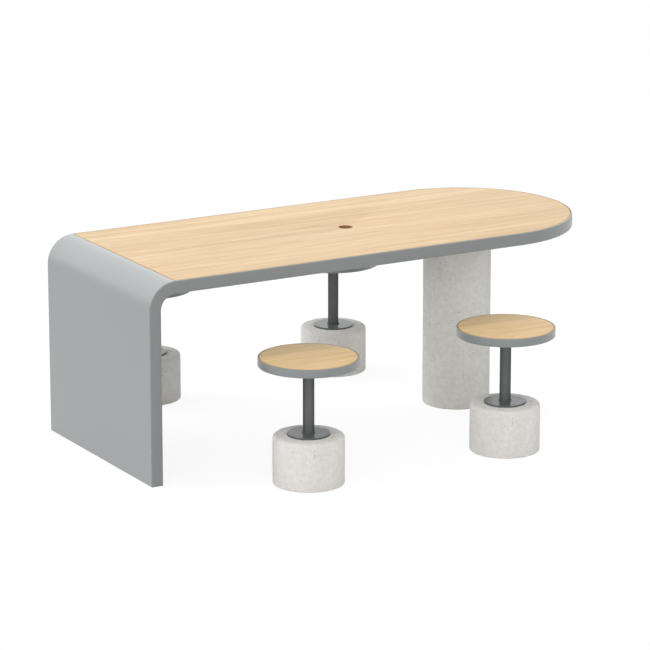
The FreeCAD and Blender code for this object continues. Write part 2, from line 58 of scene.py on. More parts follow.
# Steps of a turn, of the bend, and of larger and smaller rounded edges. Faces that meet at more
# than SHARP_ANGLE keep a sharp edge. Between WORN_ANGLE and that they lie on a rounded one. A face
# whose normal points up or down by more than LEVEL is level.
TURN_STEPS = 144
BEND_STEPS = 48
EDGE_STEPS = 6
LIP_STEPS = 3
SHARP_ANGLE = math.radians(32)
WORN_ANGLE = math.radians(75 / EDGE_STEPS)
LEVEL = 0.99
MERGE_DISTANCE = 1e-6


def radius_of(node):
    """Radius of a round CAD node."""
    low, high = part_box(node)
    return (high.x - low.x) / 2


# Sizes of the table, from the frame.
skin_low, skin_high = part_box("waterfall_skin")
side_low, side_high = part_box("front_side_plate")
soffit_low, soffit_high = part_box("soffit_sheet")
board_low, board_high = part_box("top_board")
LEG_FACE = skin_low.x
BEND_END = skin_high.x
TOP = skin_high.z
BEND_RADIUS = BEND_END - LEG_FACE
BEND_LEVEL = TOP - BEND_RADIUS
BEND_RUN = BEND_RADIUS * math.pi / 2
FLAT_START = BEND_LEVEL + BEND_RUN
ROUND_CENTRE = side_high.x
SIDE_END = FLAT_START + ROUND_CENTRE - BEND_END
HALF_WIDTH = -side_low.y
SIDE_WALL = skin_low.y - side_low.y
SLAB_DEPTH = TOP - soffit_low.z
LINER_WALL = soffit_high.z - soffit_low.z
SKIN_WALL = 0.004
EDGE_ROUND = 0.0035
SKIN_END_ROUND = 0.001
BOARD_EDGE = 0.001
HOLE = Vector(mounts["parasol_bore"]["pos_m"])
HOLE_RADIUS = mounts["parasol_bore"]["dims"]["r_mm"] / 1000

# Sizes of the concrete and of the stools, which are all alike.
COLUMN_RADIUS = radius_of("concrete_column")
COLUMN_CHAMFER = 0.004
PLINTH_RADIUS = radius_of(f"{STOOLS[0]}_plinth")
PLINTH_ROUND = 0.012
PLINTH_CHAMFER = 0.003
CONCRETE_GRID = 0.006
CONCRETE_WAVE = 0.0005
CONCRETE_WAVE_SCALE = 22
POST_RADIUS = radius_of(f"{STOOLS[0]}_post")
POST_WALL = 0.003
WELD_LEG = 0.003
WELD_RIPPLE = 0.12
WELD_RIPPLES = 48
PAN_RADIUS = radius_of(f"{STOOLS[0]}_seat_pan")
PAN_WALL = 0.004
PAN_ROUND = 0.0025
PAN_LIP = 0.0008
SEAT_RADIUS = radius_of(f"{STOOLS[0]}_seat_board")
SEAT_EDGE = 0.0012

# Colours, as linear red, green, blue and opacity.
PAINT = (0.200, 0.217, 0.217, 1)
PAINT_DEEP = (0.189, 0.205, 0.205, 1)
# Paler paint on rounded edges: wear, and a painted highlight.
PAINT_WORN_AND_HIGHLIT = (0.29, 0.31, 0.31, 1)
GRAPHITE = (0.136, 0.146, 0.145, 1)
GRAPHITE_PALE = (0.158, 0.168, 0.167, 1)
# Colour of the painted shade on the posts' sides seen at a slant.
GRAPHITE_EDGE_SHADE = (0.022, 0.024, 0.024, 1)
FLANGE = (0.120, 0.134, 0.136, 1)
FLANGE_PALE = (0.146, 0.157, 0.159, 1)
ZINC = (0.56, 0.57, 0.58, 1)
ZINC_PALE = (0.68, 0.69, 0.70, 1)
CONCRETE_PALE = (0.860, 0.837, 0.800, 1)
CONCRETE_DEEP = (0.752, 0.727, 0.690, 1)
CONCRETE_RUBBED = (0.82, 0.80, 0.77, 1)
# Painted shade in the concrete's pits.
PIT_SHADE = (0.37, 0.35, 0.32, 1)
TOP_WOOD_PALE = (0.766, 0.597, 0.390, 1)
TOP_WOOD_DEEP = (0.555, 0.390, 0.222, 1)
SEAT_WOOD_PALE = (0.825, 0.610, 0.335, 1)
SEAT_WOOD_DEEP = (0.510, 0.330, 0.150, 1)
# Painted shade at the wood's edges, where they meet the steel.
WOOD_GAP_SHADE = (0.70, 0.39, 0.14, 1)
PORE = (0.30, 0.17, 0.08, 1)
WOOD_EDGE = (0.42, 0.205, 0.082, 1)
WOOD_EDGE_DEEP = (0.26, 0.115, 0.045, 1)
WHITE = (1, 1, 1, 1)

# How pale the wood is across the grain, from 0 to 1, at shares of the way from front to rear.
TOP_BANDS = ((0, 0.5), (0.15, 0.72), (0.28, 0.48), (0.43, 0.74), (0.5, 0.5), (0.78, 0.38),
             (0.84, 0.78), (0.89, 0.38), (0.93, 0.6), (0.975, 0.4))
# The seats grow paler toward the rear: painted light against the shade of the table.
SEAT_BANDS_AND_PAINTED_LIGHT = ((0, 0.6), (0.35, 0.56), (0.53, 0.66), (0.555, 0.98), (0.585, 0.62), (0.8, 0.6),
              (1, 0.74))

# Painted shade along the boards' edges at the steel, and the glue line: width, place and share of the
# colour.
BORDER = 0.008
BORDER_SHARE = 0.75
SEAM_Y = -0.024
SEAM_WIDTH = 0.0008
SEAM_SHARE = 0.45

# How fine the detail of each finish is, in repeats per metre, for wood along X, Y and Z.
PAINT_CLOUDS = 3.0
PAINT_PEEL = 520
PAINT_WEAR = 35
GRAPHITE_CLOUDS = 9.0
GRAPHITE_PEEL = 700
ZINC_SPANGLES = 160.0
ZINC_GRAIN = 900
CONCRETE_CLOUDS = 9.0
CONCRETE_MOTTLE = 60
CONCRETE_GRIT = 150
CONCRETE_SAND = 420
LARGE_PITS = 55.0
SMALL_PITS = 120.0
WOOD_DRIFT = (1.6, 3.0, 3.0)
WOOD_STREAKS = (1.6, 45, 45)
WOOD_FIBRES = (7, 260, 260)
WOOD_PORES = (28, 1150, 1150)
CUT_STREAKS = (60, 60, 500)

# The range that most values of a noise lie in, and the ranges that turn into a finish's colours.
NOISE_RANGE = (0.3, 0.7)
CONCRETE_RANGE = (0.66, 0.94)
WOOD_RANGE = (0.87, 1.53)
PORE_RANGE = (0.62, 0.74)

# How far the grain sways aside, how soft a pit's rim is, and how strongly the painted shade in pits
# and the pores show.
WOOD_SWAY = 0.012
PIT_RIM = 0.07
PIT_SHADE_SHARE = 0.6
PORE_SHARE = 0.16

# How rough each finish is, from its smoothest spots to its roughest ones.
PAINT_ROUGH = (0.42, 0.50)
PAINT_COAT_ROUGH = 0.42
FLANGE_ROUGH = (0.20, 0.28)
POST_ROUGH = (0.42, 0.50)
ZINC_ROUGH = (0.30, 0.42)
CONCRETE_ROUGH = (0.78, 0.92)
WOOD_ROUGH = (0.46, 0.58)
CUT_ROUGH = (0.5, 0.65)

# The camera, as fitted to the photograph.
CAMERA_PLACE = (-6.321946, -10.968265, 3.73464)
CAMERA_TILT = 75.076
CAMERA_TURN = -29.819
CAMERA_LENS = 200.09

# The lamps: the direction that each shines from, its strength, its width in degrees, and whether
# glossy surfaces show it too.
LAMPS = {
    "left": ((-0.7, 0.6, 0.5), 1.40, 60, False),
    "front": ((-0.45, -0.85, 0.45), 1.25, 70, False),
    "rear_sky": ((0.0, 0.5, 0.87), 1.88, 120, True),
}
AMBIENT = 0.3

# The floor: half its width, the colour that throws light back, and what the camera sees of it.
# That is a glow with a share of the lamps' light, which keeps the shadow, and turns plain white
# between two distances from the middle.
FLOOR_HALF = 60
FLOOR_COLOUR = (0.88, 0.88, 0.88, 1)
SHADOW_COLOUR = (0.18, 0.18, 0.18, 1)
SHADOW_GLOW = 0.86
SHADOW_START = 1.7
SHADOW_END = 2.6
CAMERA_REACH = 4 * FLOOR_HALF


class Graph:
    """A material and its nodes."""

    def __init__(self, name):
        self.material = bpy.data.materials.new(name)
        self.material.use_nodes = True
        self.nodes = self.material.node_tree.nodes
        self.links = self.material.node_tree.links
        self.shader = self.nodes["Principled BSDF"]
        self.spot = self.add("TexCoord").outputs["Object"]

    def feed(self, socket, value):
        """Link a socket to another one, or set its value."""
        if isinstance(value, bpy.types.NodeSocket):
            self.links.new(value, socket)
        else:
            socket.default_value = value

    def add(self, kind, inputs=None, **settings):
        """Add a node and feed its named or numbered inputs."""
        node = self.nodes.new(f"ShaderNode{kind}")
        for name, value in settings.items():
            setattr(node, name, value)
        for name, value in (inputs or {}).items():
            self.feed(node.inputs[name], value)
        return node

    def stretch(self, scale, start=None):
        """Coordinates scaled along each axis."""
        node = self.add("VectorMath", {0: start or self.spot, 1: scale}, operation="MULTIPLY")
        return node.outputs["Vector"]

    def noise(self, vector, scale, detail=2.0, roughness=0.5):
        """Cloudy noise from 0 to 1."""
        inputs = {"Vector": vector, "Scale": scale, "Detail": detail, "Roughness": roughness}
        return self.add("TexNoise", inputs).outputs["Fac"]

    def spread(self, value, low, high, to_low=0.0, to_high=1.0):
        """Map a range of a value to another range, clamped."""
        inputs = {"Value": value, "From Min": low, "From Max": high,
                  "To Min": to_low, "To Max": to_high}
        return self.add("MapRange", inputs).outputs["Result"]

    def math(self, operation, first, second=0.0):
        """One operation on two values."""
        return self.add("Math", {0: first, 1: second}, operation=operation).outputs["Value"]

    def total(self, *parts):
        """Sum of values, each times its weight."""
        whole = 0.0
        for value, weight in parts:
            whole = self.math("ADD", whole, self.math("MULTIPLY", value, weight))
        return whole

    def blend(self, share, first, second):
        """Two colours mixed by a share."""
        return self.add("MixRGB", {"Fac": share, "Color1": first, "Color2": second}).outputs["Color"]

    def ramp(self, value, stops):
        """A smooth run of grey levels at given places from 0 to 1."""
        node = self.add("ValToRGB", {"Fac": value})
        ramp = node.color_ramp
        ramp.interpolation = "EASE"
        for place, level in stops[2:]:
            ramp.elements.new(place)
        for element, (place, level) in zip(ramp.elements, stops):
            element.position = place
            element.color = (level, level, level, 1)
        return node.outputs["Color"]

    def bump(self, height, strength, distance, below=None):
        """Make a height show in the shading, over another one."""
        inputs = {"Height": height, "Strength": strength, "Distance": distance}
        if below:
            inputs["Normal"] = below
        return self.add("Bump", inputs).outputs["Normal"]

    def finish(self, colour, roughness, normal, **plain):
        """Feed the shader and hand over the material."""
        self.feed(self.shader.inputs["Base Color"], colour)
        self.feed(self.shader.inputs["Roughness"], roughness)
        self.feed(self.shader.inputs["Normal"], normal)
        for name, value in plain.items():
            self.shader.inputs[name.replace("_", " ")].default_value = value
        return self.material


def satin_paint():
    """Satin grey coat: fine orange peel, faint clouds, and rounded edges paler from wear and a
    painted highlight.
    """
    graph = Graph("satin paint")
    cloud = graph.noise(graph.spot, PAINT_CLOUDS, detail=3)
    peel = graph.noise(graph.spot, PAINT_PEEL, detail=2)
    rounded_edge = graph.add("Attribute", attribute_name="rounded_edge").outputs["Fac"]
    patch = graph.spread(graph.noise(graph.spot, PAINT_WEAR), 0.35, 0.7, 0.05, 0.3)
    colour = graph.blend(cloud, PAINT_DEEP, PAINT)
    # Wear and a painted highlight make the rounded edges paler.
    colour = graph.blend(graph.math("MULTIPLY", rounded_edge, patch), colour, PAINT_WORN_AND_HIGHLIT)
    roughness = graph.spread(cloud, *NOISE_RANGE, *PAINT_ROUGH)
    normal = graph.bump(peel, strength=0.12, distance=0.0003)
    return graph.finish(colour, roughness, normal, IOR=1.5, Coat_Weight=1.0,
                        Coat_Roughness=PAINT_COAT_ROUGH)


def graphite(name, deep, pale, rough, sheen, edge_shade):
    """Graphite coat with faint clouds, and painted shade that darkens it at a slant by the share
    given last.
    """
    graph = Graph(name)
    cloud = graph.noise(graph.spot, GRAPHITE_CLOUDS, detail=3)
    peel = graph.noise(graph.spot, GRAPHITE_PEEL, detail=2)
    slant = graph.add("LayerWeight", {"Blend": 0.5}).outputs["Facing"]
    colour = graph.blend(cloud, deep, pale)
    # Painted shade: darker where the surface is seen at a slant.
    colour = graph.blend(graph.math("MULTIPLY", slant, edge_shade), colour, GRAPHITE_EDGE_SHADE)
    roughness = graph.spread(cloud, *NOISE_RANGE, *rough)
    normal = graph.bump(peel, strength=0.05, distance=0.0001)
    return graph.finish(colour, roughness, normal, Specular_IOR_Level=sheen)


def zinc():
    """Zinc plating on the fasteners and the frame inside the slab."""
    graph = Graph("zinc plate")
    spangle = graph.add("TexVoronoi", {"Vector": graph.spot, "Scale": ZINC_SPANGLES}).outputs["Color"]
    grey = graph.add("RGBToBW", {"Color": spangle}).outputs["Val"]
    colour = graph.blend(grey, ZINC, ZINC_PALE)
    roughness = graph.spread(grey, 0.0, 1.0, *ZINC_ROUGH)
    normal = graph.bump(graph.noise(graph.spot, ZINC_GRAIN), strength=0.1, distance=0.0002)
    return graph.finish(colour, roughness, normal, Metallic=1.0)


def pits(graph, scale, share, size):
    """Depth from 0 to 1 of round pits, up to a size, in a share of the cells of a scale."""
    cell = graph.add("TexVoronoi", {"Vector": graph.spot, "Scale": scale, "Randomness": 1.0})
    chance = graph.add("RGBToBW", {"Color": cell.outputs["Color"]}).outputs["Val"]
    reach = graph.spread(chance, 1 - share, 1.0, 0.0, size)
    return graph.spread(graph.math("SUBTRACT", reach, cell.outputs["Distance"]), 0.0, PIT_RIM)


def concrete():
    """Pale cast concrete: soft clouds, mottled and gritty skin, scattered pits with painted shade in
    them, and rubbed edges.
    """
    graph = Graph("cast concrete")
    cloud = graph.noise(graph.spot, CONCRETE_CLOUDS, detail=4, roughness=0.6)
    mottle = graph.noise(graph.spot, CONCRETE_MOTTLE, detail=2, roughness=0.6)
    grit = graph.noise(graph.spot, CONCRETE_GRIT, detail=3, roughness=0.65)
    sand = graph.noise(graph.spot, CONCRETE_SAND, detail=2, roughness=0.7)
    large = pits(graph, LARGE_PITS, share=0.45, size=0.26)
    small = pits(graph, SMALL_PITS, share=0.5, size=0.3)
    pit = graph.math("MAXIMUM", large, small)
    shade = graph.total((cloud, 0.25), (mottle, 0.5), (grit, 0.55), (sand, 0.3))
    colour = graph.blend(graph.spread(shade, *CONCRETE_RANGE), CONCRETE_DEEP, CONCRETE_PALE)
    rounded_edge = graph.add("Attribute", attribute_name="rounded_edge").outputs["Fac"]
    rubbed = graph.math("MULTIPLY", rounded_edge, graph.spread(grit, 0.3, 0.6, 0.2, 0.8))
    colour = graph.blend(rubbed, colour, CONCRETE_RUBBED)
    # Painted shade in the pits.
    colour = graph.blend(graph.math("MULTIPLY", pit, PIT_SHADE_SHARE), colour, PIT_SHADE)
    normal = graph.bump(mottle, strength=0.7, distance=0.006)
    normal = graph.bump(grit, strength=0.9, distance=0.004, below=normal)
    normal = graph.bump(sand, strength=0.35, distance=0.0006, below=normal)
    hollow = graph.math("SUBTRACT", 1.0, pit)
    normal = graph.bump(hollow, strength=0.8, distance=0.0015, below=normal)
    roughness = graph.spread(grit, *NOISE_RANGE, *CONCRETE_ROUGH)
    return graph.finish(colour, roughness, normal, Specular_IOR_Level=0.12, Diffuse_Roughness=0.6)


def wood(name, pale, deep, bands, half_width, border, sheen, seam=False):
    """Straight-grained wood along X: bands, streaks, fine fibres, short pores and painted shade at
    its edge.
    """
    graph = Graph(name)
    drift = graph.noise(graph.stretch(WOOD_DRIFT), 1.0, detail=1)
    shift = graph.spread(drift, 0.0, 1.0, -WOOD_SWAY, WOOD_SWAY)
    bent = graph.add("CombineXYZ", {"Y": shift, "Z": shift}).outputs["Vector"]
    grain = graph.add("VectorMath", {0: graph.spot, 1: bent}, operation="ADD").outputs["Vector"]
    across = graph.add("SeparateXYZ", {"Vector": grain}).outputs["Y"]
    # For the seats these bands also hold painted light toward the rear.
    band = graph.ramp(graph.spread(across, -half_width, half_width), bands)
    streak = graph.noise(graph.stretch(WOOD_STREAKS, grain), 1.0, detail=4, roughness=0.72)
    fibre = graph.noise(graph.stretch(WOOD_FIBRES, grain), 1.0, detail=3, roughness=0.6)
    pore = graph.noise(graph.stretch(WOOD_PORES, grain), 1.0, detail=2)
    shade = graph.total((band, 0.45), (streak, 1.1), (fibre, 0.85))
    colour = graph.blend(graph.spread(shade, *WOOD_RANGE), deep, pale)
    colour = graph.blend(graph.spread(pore, *PORE_RANGE, 0.0, PORE_SHARE), colour, PORE)
    if seam:
        colour = graph.blend(seam_share(graph), colour, PORE)
    # Painted shade along the edge where the wood meets the steel.
    colour = graph.blend(graph.math("MULTIPLY", border(graph), BORDER_SHARE), colour, WOOD_GAP_SHADE)
    normal = graph.bump(fibre, strength=0.12, distance=0.0004)
    normal = graph.bump(pore, strength=0.10, distance=0.0002, below=normal)
    roughness = graph.spread(fibre, *NOISE_RANGE, *WOOD_ROUGH)
    return graph.finish(colour, roughness, normal, IOR=1.45, Specular_IOR_Level=sheen)


def round_border(graph, past, reach):
    """1 at the rim of a shape that reaches round a point or round a line along X, and 0 inside.

    `past` is how far a spot lies beyond the point or the line's end.
    """
    aside = graph.add("SeparateXYZ", {"Vector": graph.spot}).outputs["Y"]
    spot = graph.add("CombineXYZ", {"X": past, "Y": aside}).outputs["Vector"]
    away = graph.add("VectorMath", {0: spot}, operation="LENGTH").outputs["Value"]
    return graph.spread(away, reach - BORDER, reach)


def seat_border(graph):
    """1 along a round seat's edge, where shade is painted next to the pan, and 0 inside."""
    x = graph.add("SeparateXYZ", {"Vector": graph.spot}).outputs["X"]
    return round_border(graph, x, SEAT_RADIUS)


def table_border(graph):
    """1 along the table board's edge and 0 inside."""
    x = graph.add("SeparateXYZ", {"Vector": graph.spot}).outputs["X"]
    past = graph.math("MAXIMUM", graph.math("SUBTRACT", x, ROUND_CENTRE), 0.0)
    start = graph.spread(x, board_low.x, board_low.x + BORDER, 1.0, 0.0)
    return graph.math("MAXIMUM", round_border(graph, past, board_high.y), start)


def seam_share(graph):
    """The fine glue line that runs from the parasol hole to the round end."""
    axes = graph.add("SeparateXYZ", {"Vector": graph.spot})
    aside = graph.math("ABSOLUTE", graph.math("SUBTRACT", axes.outputs["Y"], SEAM_Y))
    on_line = graph.spread(aside, 0.0, SEAM_WIDTH, SEAM_SHARE, 0.0)
    past_hole = graph.math("GREATER_THAN", axes.outputs["X"], HOLE.x)
    return graph.math("MULTIPLY", on_line, past_hole)


def wood_edge():
    """Oiled brown wood on the boards' cut edges and round the parasol hole."""
    graph = Graph("cut wood")
    streak = graph.noise(graph.stretch(CUT_STREAKS), 1.0, detail=4, roughness=0.6)
    colour = graph.blend(graph.spread(streak, *NOISE_RANGE), WOOD_EDGE_DEEP, WOOD_EDGE)
    roughness = graph.spread(streak, *NOISE_RANGE, *CUT_ROUGH)
    return graph.finish(colour, roughness, graph.bump(streak, strength=0.2, distance=0.0004))


def arc(x, y, radius_x, radius_y, start, end, steps=EDGE_STEPS):
    """Points along a round or oval corner, between two angles in degrees."""
    angles = [math.radians(start + (end - start) * step / steps) for step in range(steps + 1)]
    return [(x + radius_x * math.cos(angle), y + radius_y * math.sin(angle)) for angle in angles]


def skin(mesh, rings, capped):
    """Faces between rings of points, and over both ends of the run where it is capped."""
    loops = [[mesh.verts.new(point) for point in ring] for ring in rings]
    for before, after in zip(loops, loops[1:]):
        for index in range(len(before)):
            mesh.faces.new((before[index - 1], before[index], after[index], after[index - 1]))
    if capped:
        mesh.faces.new(loops[0])
        mesh.faces.new(loops[-1])


def turned(profile):
    """Mesh turned about the upright axis from a closed run of (radius, height) points."""
    mesh = bmesh.new()
    rings = []
    for step in range(TURN_STEPS + 1):
        angle = math.tau * (step % TURN_STEPS) / TURN_STEPS
        rings.append([(radius * math.cos(angle), radius * math.sin(angle), z)
                      for radius, z in profile])
    skin(mesh, rings, capped=False)
    return mesh


def closer(profile, spacing):
    """The same run of points with long stretches divided."""
    points = []
    for start, end in zip(profile, profile[1:]):
        parts = max(1, math.ceil(math.dist(start, end) / spacing))
        points += [tuple(a + (b - a) * part / parts for a, b in zip(start, end))
                   for part in range(parts)]
    return [*points, profile[-1]]


def mark_wear(mesh):
    """Keep on each point whether it lies on a rounded edge, where paint wears and gets a painted
    highlight.
    """
    layer = mesh.verts.layers.float.new("rounded_edge")
    for edge in mesh.edges:
        if WORN_ANGLE < edge.calc_face_angle(0) < SHARP_ANGLE:
            for point in edge.verts:
                point[layer] = 1


def new_piece(name, mesh, slot, body, nodes=(), place=(0, 0, 0), dress=()):
    """Turn a mesh built about its own origin into a piece that stands for CAD nodes."""
    bmesh.ops.remove_doubles(mesh, verts=mesh.verts, dist=MERGE_DISTANCE)
    bmesh.ops.recalc_face_normals(mesh, faces=mesh.faces)
    mark_wear(mesh)
    data = bpy.data.meshes.new(name)
    mesh.to_mesh(data)
    mesh.free()
    data.shade_smooth()
    data.set_sharp_from_angle(angle=SHARP_ANGLE)
    for look in dress or [slot]:
        data.materials.append(looks[look])
    piece = bpy.data.objects.new(name, data)
    piece.location = place
    scene.collection.objects.link(piece)
    if nodes:
        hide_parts(*nodes)
    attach(piece, body)


def slab_point(run, depth, y):
    """Point at a depth below the slab's outer face, after a run up the leg, bend and top."""
    turn = min(max(run - BEND_LEVEL, 0) / BEND_RADIUS, math.pi / 2)
    radius = BEND_RADIUS - depth
    x = BEND_END - radius * math.cos(turn) + max(run - BEND_LEVEL - BEND_RUN, 0)
    z = min(run, BEND_LEVEL) + radius * math.sin(turn)
    return (x, y, z)


def foot_stations(edge):
    """Runs up from the floor over a rounded lower edge, each with what the edge is drawn in by."""
    return [(edge - across, edge - up) for across, up in arc(0, 0, edge, edge, 0, 90)]


def bend_stations():
    """Runs round the bend."""
    return [(BEND_LEVEL + BEND_RUN * step / BEND_STEPS, 0) for step in range(BEND_STEPS + 1)]


def end_stations(end, edge):
    """Runs over a rounded edge where a sheet ends."""
    return [(end - edge + across, edge - up) for across, up in reversed(arc(0, 0, edge, edge, 0, 90))]


def flat_section(depth, wall, drawn_in):
    """Cut through a sheet of the slab, as (depth, y) points."""
    side = HALF_WIDTH - SIDE_WALL
    outside = depth + drawn_in
    inside = depth + wall
    return [(outside, -side), (outside, side), (inside, side), (inside, -side)]


def side_section(mirror, drawn_in):
    """Cut through the front side plate, or the rear one in mirror image, as (depth, y) points."""
    inside = -HALF_WIDTH + SIDE_WALL
    corner = -HALF_WIDTH + EDGE_ROUND
    radius = EDGE_ROUND - drawn_in
    upper = arc(EDGE_ROUND, corner, radius, radius, 180, 270)
    lower = arc(SLAB_DEPTH - EDGE_ROUND, corner, EDGE_ROUND, radius, 270, 360)
    points = [(drawn_in, inside), *upper, *lower, (SLAB_DEPTH, inside)]
    return [(depth, mirror * y) for depth, y in points]


def swept(stations, section, *sizes):
    """Mesh along the slab with the same cut at each run, drawn in by what goes with the run."""
    mesh = bmesh.new()
    skin(mesh, [[slab_point(run, depth, y) for depth, y in section(*sizes, drawn_in)]
                for run, drawn_in in stations], capped=True)
    return mesh


def build_outer_skin():
    """The sheet outside the leg and bend, with a rounded foot and a fine round at the board."""
    stations = [*foot_stations(EDGE_ROUND), *bend_stations()[:-1],
                *end_stations(FLAT_START, SKIN_END_ROUND)]
    mesh = swept(stations, flat_section, 0, SKIN_WALL)
    new_piece("outer_skin", mesh, "satin_paint", "table", ["waterfall_skin"])


def build_inner_skin():
    """The sheet inside the leg and bend."""
    mesh = swept([(0, 0), *bend_stations()], flat_section, SLAB_DEPTH - LINER_WALL, LINER_WALL)
    new_piece("inner_skin", mesh, "satin_paint", "table", ["leg_liner"])


def build_sides():
    """The side plates along leg, bend and top."""
    stations = [*foot_stations(EDGE_ROUND), *bend_stations(), (SIDE_END, 0)]
    for side, mirror in (("front", 1), ("rear", -1)):
        mesh = swept(stations, side_section, mirror)
        new_piece(f"{side}_side", mesh, "satin_paint", "table", [f"{side}_side_plate"])


def build_end_band():
    """The half round band at the end of the top."""
    mesh = bmesh.new()
    rings = []
    for step in range(TURN_STEPS + 1):
        angle = math.pi * (step / TURN_STEPS - 0.5)
        rings.append([(ROUND_CENTRE - y * math.cos(angle), -y * math.sin(angle), TOP - depth)
                      for depth, y in side_section(1, 0)])
    skin(mesh, rings, capped=True)
    new_piece("end_band", mesh, "satin_paint", "table", ["round_end_band"])


def board_outline(drawn_in):
    """The table board's outline, with its round end."""
    reach = board_high.y - drawn_in
    start = board_low.x + drawn_in
    return [*arc(ROUND_CENTRE, 0, reach, reach, -90, 90, TURN_STEPS), (start, reach), (start, -reach)]


def hole_outline(drawn_in):
    """The parasol hole's outline, which grows where the board's edge is drawn in."""
    radius = HOLE_RADIUS + drawn_in
    return arc(HOLE.x, 0, radius, radius, 0, 360, TURN_STEPS)[:-1]


def build_board():
    """The wooden board with its softened edges and the parasol hole."""
    mesh = bmesh.new()
    low, high = board_low.z, board_high.z
    levels = [(low, 0)]
    levels += [(high - BOARD_EDGE + up, BOARD_EDGE - across)
               for across, up in arc(0, 0, BOARD_EDGE, BOARD_EDGE, 0, 90, LIP_STEPS)]
    for outline in (board_outline, hole_outline):
        rings = [[(x, y, z) for x, y in outline(drawn_in)] for z, drawn_in in levels]
        skin(mesh, rings, capped=False)
    for face in mesh.faces:
        face.material_index = 1
    for z in (low, high):
        rim = [edge for edge in mesh.edges
               if edge.is_boundary and all(point.co.z == z for point in edge.verts)]
        bmesh.ops.triangle_fill(mesh, use_beauty=True, edges=rim)
    new_piece("table_board", mesh, "top_wood", "table", ["top_board"],
              dress=["top_wood", "cut_wood"])


def roughen(mesh, radius, place):
    """Draw the concrete's side in by a soft, uneven fraction of a millimetre."""
    for point in mesh.verts:
        spot = Vector(place) + point.co
        share = 0.5 + 0.5 * noise.noise(spot * CONCRETE_WAVE_SCALE)
        if point.co.xy.length > radius / 2:
            point.co.xy *= 1 - CONCRETE_WAVE * share / radius


def build_column():
    """The round concrete column under the top."""
    low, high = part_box("concrete_column")
    place = ((low.x + high.x) / 2, 0, 0)
    profile = [(0, 0), (COLUMN_RADIUS - COLUMN_CHAMFER, 0), (COLUMN_RADIUS, COLUMN_CHAMFER),
               (COLUMN_RADIUS, high.z), (0, high.z)]
    mesh = turned(closer(profile, CONCRETE_GRID))
    roughen(mesh, COLUMN_RADIUS, place)
    new_piece("column", mesh, "concrete", "table", ["concrete_column"], place)


def weld_ring(upwards):
    """Ring of weld between a post and a plate, with the ripples of a hand-laid run."""
    mesh = bmesh.new()
    rings = []
    inside = POST_RADIUS - POST_WALL / 2
    steps = WELD_RIPPLES * EDGE_STEPS
    for step in range(steps + 1):
        angle = math.tau * (step % steps) / steps
        leg = WELD_LEG * (1 + WELD_RIPPLE * math.sin(WELD_RIPPLES * angle))
        section = [(inside, 0), *arc(POST_RADIUS, 0, leg, leg, 0, 90), (inside, leg)]
        rings.append([(radius * math.cos(angle), radius * math.sin(angle), upwards * z)
                      for radius, z in section])
    skin(mesh, rings, capped=False)
    return mesh


def build_plinth(stool, place, top):
    """A stool's concrete plinth, from the floor up."""
    rim = PLINTH_RADIUS - PLINTH_ROUND
    profile = [(0, 0), (PLINTH_RADIUS - PLINTH_CHAMFER, 0), (PLINTH_RADIUS, PLINTH_CHAMFER),
               *arc(rim, top - PLINTH_ROUND, PLINTH_ROUND, PLINTH_ROUND, 0, 90), (0, top)]
    mesh = turned(closer(profile, CONCRETE_GRID))
    roughen(mesh, PLINTH_RADIUS, place)
    new_piece(f"{stool}_base", mesh, "concrete", stool, [f"{stool}_plinth"], place)


def build_post(stool, place, low, high):
    """A stool's tubular post and the welds at both of its ends."""
    bore = POST_RADIUS - POST_WALL
    mesh = turned([(bore, low), (POST_RADIUS, low), (POST_RADIUS, high), (bore, high), (bore, low)])
    new_piece(f"{stool}_stem", mesh, "dark_steel", stool, [f"{stool}_post"], place, ["post_coat"])
    for end, z, upwards in (("foot", low, 1), ("head", high, -1)):
        new_piece(f"{stool}_{end}_weld", weld_ring(upwards), "dark_steel", stool,
                  place=place + Vector((0, 0, z)), dress=["post_coat"])


def build_seat(stool, place, low, high):
    """A stool's steel pan, with a softened lip, and the wood in it."""
    wall = PAN_RADIUS - PAN_WALL
    floor = low + PAN_WALL
    profile = [(0, low), *arc(PAN_RADIUS - PAN_ROUND, low + PAN_ROUND, PAN_ROUND, PAN_ROUND, -90, 0),
               *arc(PAN_RADIUS - PAN_LIP, high - PAN_LIP, PAN_LIP, PAN_LIP, 0, 90, LIP_STEPS),
               *arc(wall + PAN_LIP, high - PAN_LIP, PAN_LIP, PAN_LIP, 90, 180, LIP_STEPS),
               (wall, floor), (0, floor)]
    new_piece(f"{stool}_pan", turned(profile), "satin_paint", stool, [f"{stool}_seat_pan"], place)

    edge = arc(SEAT_RADIUS - SEAT_EDGE, high - SEAT_EDGE, SEAT_EDGE, SEAT_EDGE, 0, 90, LIP_STEPS)
    mesh = turned([(0, floor), (SEAT_RADIUS, floor), *edge, (0, high)])
    mesh.normal_update()
    for face in mesh.faces:
        face.material_index = int(abs(face.normal.z) < LEVEL)
    new_piece(f"{stool}_wood", mesh, "seat_wood", stool, [f"{stool}_seat_board"], place,
              ["seat_wood", "cut_wood"])


def build_stool(stool):
    """One stool, from its plinth up to its seat."""
    place = Vector(mounts[f"{stool}_foot"]["pos_m"])
    post_low, post_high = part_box(f"{stool}_post")
    build_plinth(stool, place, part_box(f"{stool}_plinth")[1].z)
    build_post(stool, place, post_low.z, post_high.z)
    build_seat(stool, place, post_high.z, mounts[f"{stool}_seat"]["pos_m"][2])


def dress_frame():
    """Give the CAD nodes that stay their materials."""
    for node in frame["nodes"].values():
        node.data.materials[0] = looks[node.data.materials[0].name]


def seen_share(nodes, links):
    """1 for camera, glossy and transmission rays, which see the white surroundings."""
    path = nodes.new("ShaderNodeLightPath")
    share = path.outputs["Is Camera Ray"]
    for kind in ("Is Glossy Ray", "Is Transmission Ray"):
        larger = nodes.new("ShaderNodeMath")
        larger.operation = "MAXIMUM"
        links.new(share, larger.inputs[0])
        links.new(path.outputs[kind], larger.inputs[1])
        share = larger.outputs[0]
    return share


